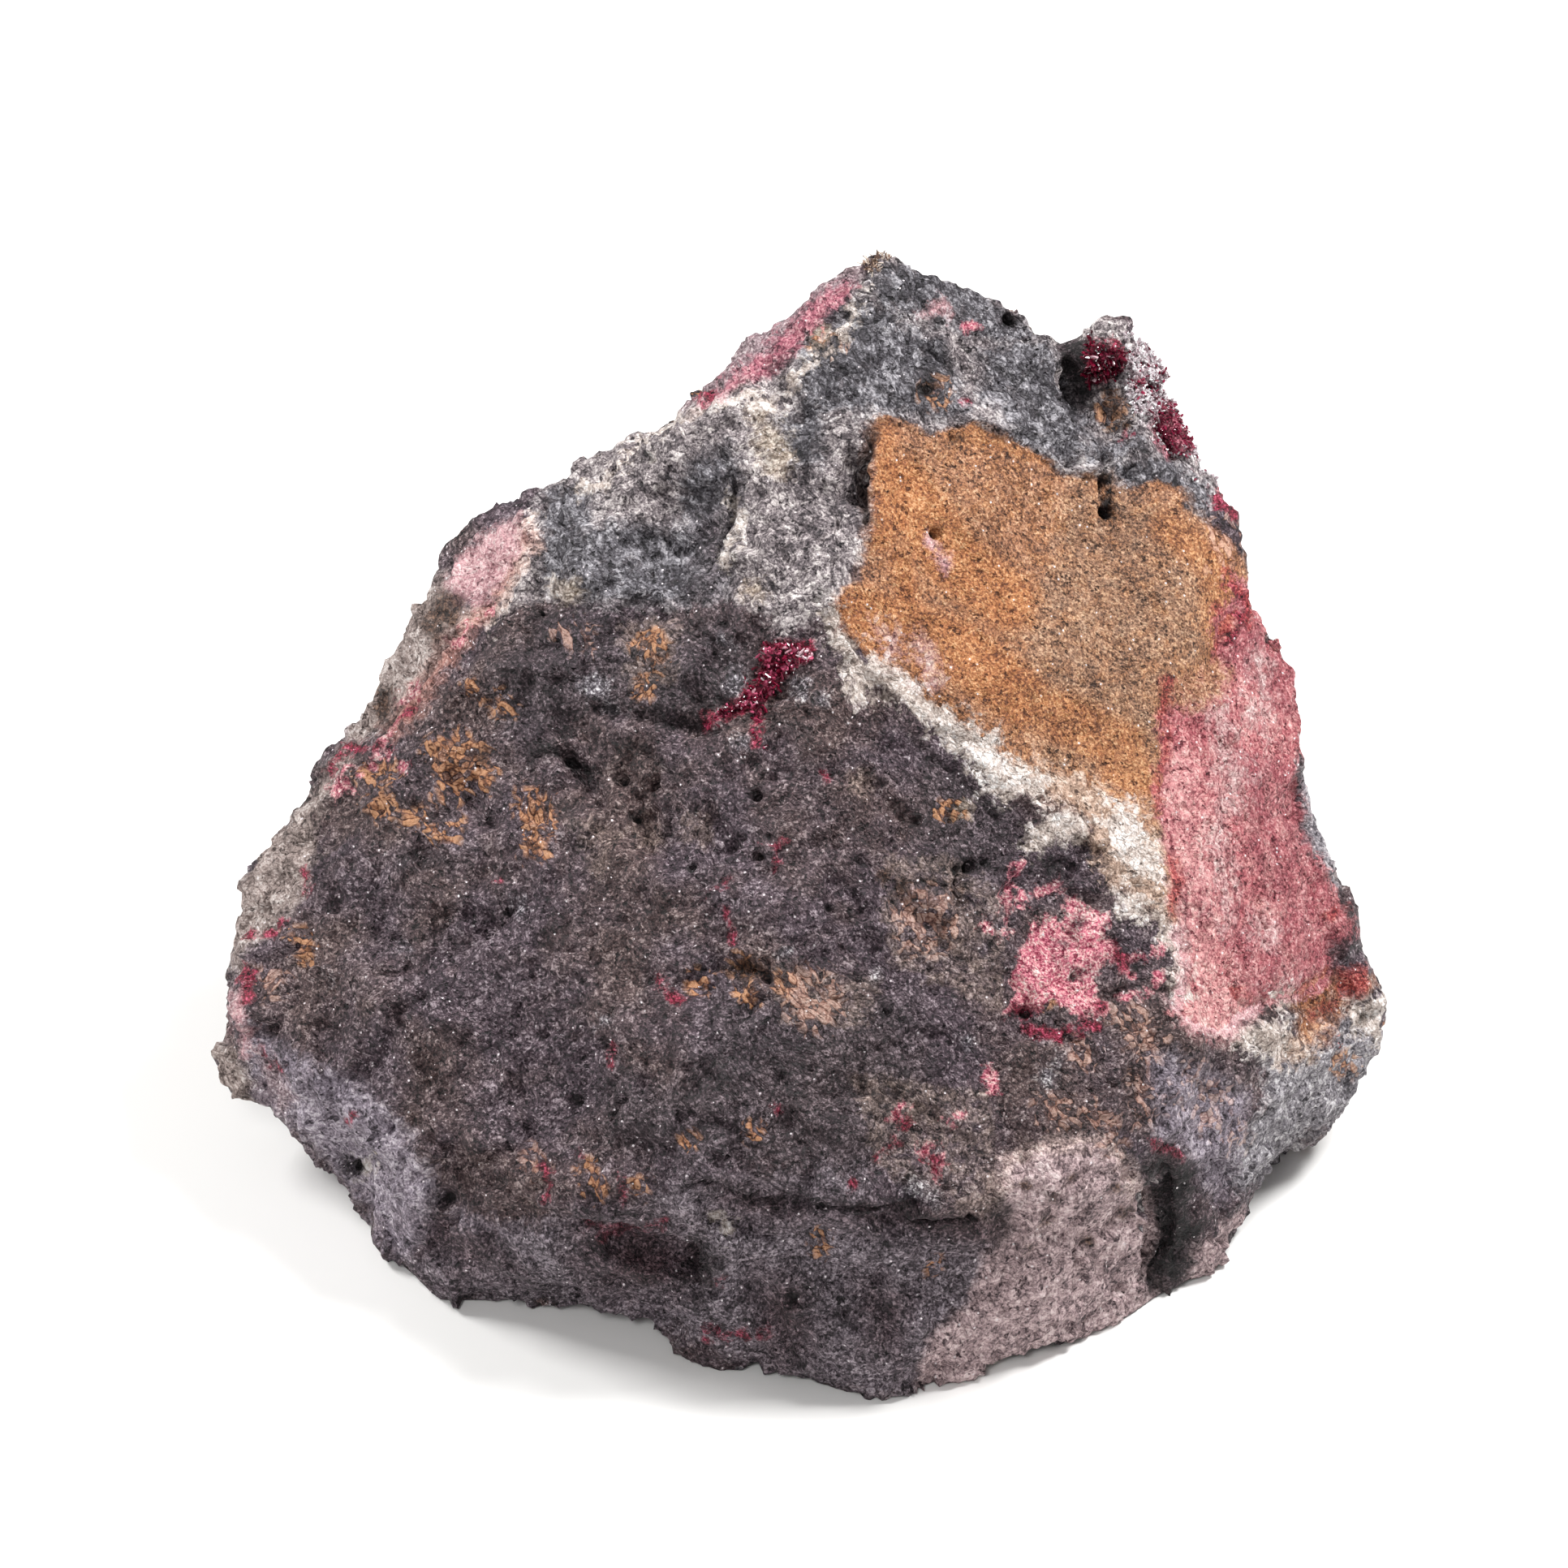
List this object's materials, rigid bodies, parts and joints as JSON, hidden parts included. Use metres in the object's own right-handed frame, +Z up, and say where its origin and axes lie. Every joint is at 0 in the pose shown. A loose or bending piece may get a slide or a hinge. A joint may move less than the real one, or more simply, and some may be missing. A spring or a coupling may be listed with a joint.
{
  "type": "erythrite on matrix",
  "caption": "Loose broken stone of grey fibrous matrix with crimson erythrite crystals in a hollow, a seam and on an edge, and a granular pink crust on one face.",
  "frame": {"origin": "on the surface that the stone rests on, under the middle of its bounding box", "axes": "+Z up from the surface it rests on, +X along the stone's length towards the side with the pink crust, +Y towards its steep back, so the dark sloping front looks towards -Y"},
  "size_m": [0.0948, 0.0748, 0.0661],
  "materials": {
    "matrix": "rough, fibrous and granular, with fine glints",
    "pink_crust": "granular and dull, with fine glints",
    "crimson_crystals": "glassy, translucent crystals",
    "white_crystals": "sparkling, translucent crystals"
  },
  "bodies": {
    "root": {"matrix": "matrix", "side_crust": "pink_crust", "pocket_druse": "crimson_crystals", "seam_druse": "crimson_crystals", "edge_druse": "white_crystals"}
  },
  "joints": []
}
